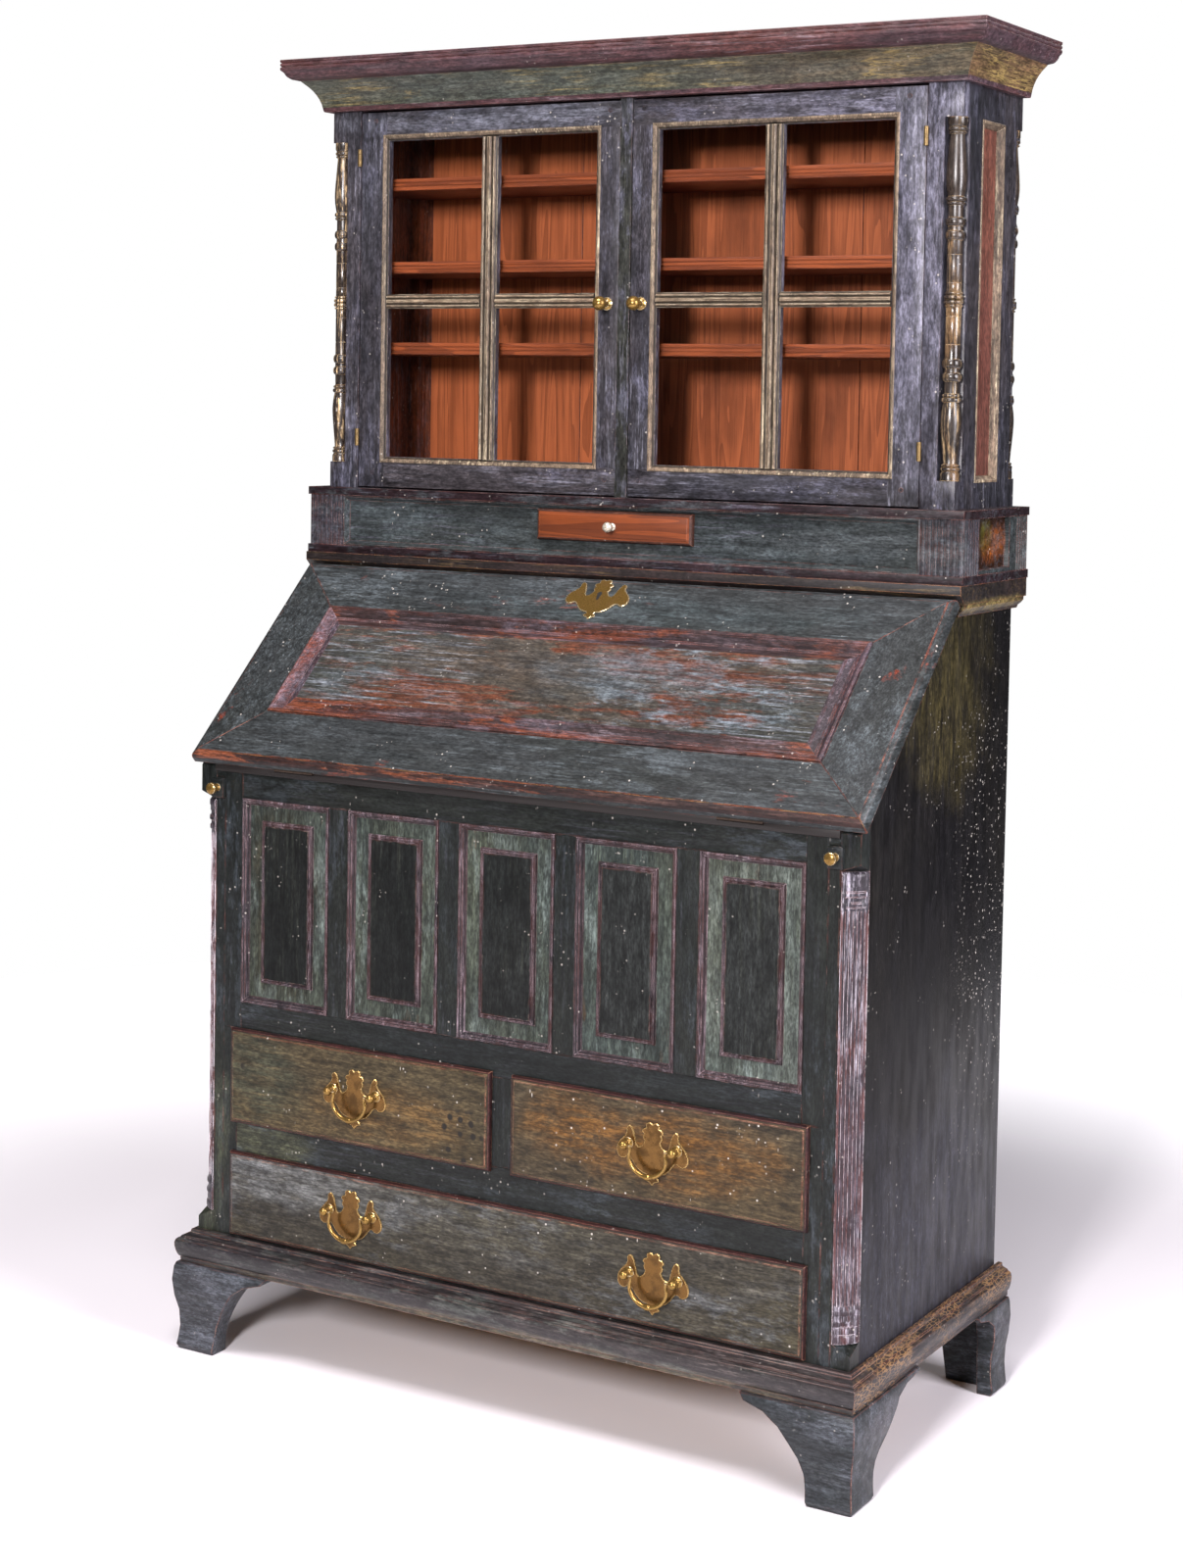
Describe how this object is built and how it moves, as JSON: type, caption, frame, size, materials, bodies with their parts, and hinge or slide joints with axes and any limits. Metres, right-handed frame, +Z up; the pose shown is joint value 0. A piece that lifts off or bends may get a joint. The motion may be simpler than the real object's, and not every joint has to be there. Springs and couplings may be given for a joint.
{
  "type": "slant-front secretary desk with glazed bookcase",
  "caption": "Painted slant-front secretary desk on bracket feet, with drawers, a fall front on lopers and a glazed bookcase above.",
  "frame": {"origin": "centre of the bounding box in plan, on the floor under the feet", "axes": "+X to the right seen from the front, +Y to the back, +Z up"},
  "size_m": [1.063, 0.507, 1.775],
  "materials": {
    "dark_paint": "blue-black paint worn to red-brown wood, semi-gloss",
    "blue_paint": "blue-black paint with a violet sheen, worn edges",
    "green_paint": "grey-green crackled paint over red-brown wood",
    "red_wood": "old red-brown stained pine",
    "bare_wood": "bare aged pine",
    "brass": "polished, a little tarnished",
    "glass": "clear window glass"
  },
  "bodies": {
    "carcass": {"foot_front_left": "green_paint", "foot_front_right": "green_paint", "foot_rear_left": "green_paint", "foot_rear_right": "green_paint", "base_moulding": "dark_paint", "desk_side_left": "dark_paint", "desk_side_right": "dark_paint", "desk_bottom": "bare_wood", "desk_back": "bare_wood", "desk_top": "dark_paint", "front_frame": "dark_paint", "front_panel_1": "green_paint", "front_panel_2": "green_paint", "front_panel_3": "green_paint", "front_panel_4": "green_paint", "front_panel_5": "green_paint", "corner_column_left": "dark_paint", "corner_column_right": "dark_paint", "writing_board": "red_wood", "pigeonholes": "red_wood", "mid_case": "blue_paint", "bookcase_case": "blue_paint", "bookcase_shelf_1": "red_wood", "bookcase_shelf_2": "red_wood", "bookcase_shelf_3": "red_wood", "colonnette_left": "dark_paint", "colonnette_right": "dark_paint", "cornice": "green_paint"},
    "fall": {"fall_frame": "green_paint", "fall_panel": "green_paint", "fall_escutcheon": "brass", "fall_hinge_left": "brass", "fall_hinge_right": "brass"},
    "loper_left_slide": {"loper_left": "dark_paint", "loper_knob_left": "brass"},
    "loper_right_slide": {"loper_right": "dark_paint", "loper_knob_right": "brass"},
    "mid_drawer_box": {"mid_drawer": "red_wood", "mid_drawer_knob": "brass"},
    "drawer_upper_left_box": {"drawer_upper_left": "green_paint", "pull_plate_upper_left": "brass"},
    "drawer_upper_right_box": {"drawer_upper_right": "green_paint", "pull_plate_upper_right": "brass"},
    "drawer_lower_box": {"drawer_lower": "green_paint", "pull_plate_lower_left": "brass", "pull_plate_lower_right": "brass"},
    "bail_upper_left": {"pull_bail_upper_left": "brass"},
    "bail_upper_right": {"pull_bail_upper_right": "brass"},
    "bail_lower_left": {"pull_bail_lower_left": "brass"},
    "bail_lower_right": {"pull_bail_lower_right": "brass"},
    "door_left": {"door_frame_left": "blue_paint", "door_glass_left": "glass", "door_knob_left": "brass", "door_hinge_upper_left": "brass", "door_hinge_lower_left": "brass"},
    "door_right": {"door_frame_right": "blue_paint", "door_glass_right": "glass", "door_knob_right": "brass", "door_hinge_upper_right": "brass", "door_hinge_lower_right": "brass"}
  },
  "joints": [
    {"name": "fall_hinge", "type": "hinge", "parent": "carcass", "child": "fall", "pos_m": [0, -0.22815, 0.8055], "axis": [1, 0, 0], "range_deg": [0, 136.9]},
    {"name": "loper_left_pull", "type": "slide", "parent": "carcass", "child": "loper_left_slide", "axis": [0, -1, 0], "range_m": [0, 0.22]},
    {"name": "loper_right_pull", "type": "slide", "parent": "carcass", "child": "loper_right_slide", "axis": [0, -1, 0], "range_m": [0, 0.22]},
    {"name": "drawer_upper_left_pull", "type": "slide", "parent": "carcass", "child": "drawer_upper_left_box", "axis": [0, -1, 0], "range_m": [0, 0.33]},
    {"name": "drawer_upper_right_pull", "type": "slide", "parent": "carcass", "child": "drawer_upper_right_box", "axis": [0, -1, 0], "range_m": [0, 0.33]},
    {"name": "drawer_lower_pull", "type": "slide", "parent": "carcass", "child": "drawer_lower_box", "axis": [0, -1, 0], "range_m": [0, 0.33]},
    {"name": "mid_drawer_pull", "type": "slide", "parent": "carcass", "child": "mid_drawer_box", "axis": [0, -1, 0], "range_m": [0, 0.13]},
    {"name": "bail_upper_left_swing", "type": "hinge", "parent": "drawer_upper_left_box", "child": "bail_upper_left", "pos_m": [-0.223, -0.24605, 0.393], "axis": [-1, 0, 0], "range_deg": [0, 80]},
    {"name": "bail_upper_right_swing", "type": "hinge", "parent": "drawer_upper_right_box", "child": "bail_upper_right", "pos_m": [0.223, -0.24605, 0.393], "axis": [-1, 0, 0], "range_deg": [0, 80]},
    {"name": "bail_lower_left_swing", "type": "hinge", "parent": "drawer_lower_box", "child": "bail_lower_left", "pos_m": [-0.227, -0.24605, 0.232], "axis": [-1, 0, 0], "range_deg": [0, 80]},
    {"name": "bail_lower_right_swing", "type": "hinge", "parent": "drawer_lower_box", "child": "bail_lower_right", "pos_m": [0.227, -0.24605, 0.232], "axis": [-1, 0, 0], "range_deg": [0, 80]},
    {"name": "door_left_swing", "type": "hinge", "parent": "carcass", "child": "door_left", "pos_m": [-0.43175, 0.04775, 1.4385], "axis": [0, 0, -1], "range_deg": [0, 115]},
    {"name": "door_right_swing", "type": "hinge", "parent": "carcass", "child": "door_right", "pos_m": [0.43175, 0.04775, 1.4385], "axis": [0, 0, 1], "range_deg": [0, 115]}
  ]
}
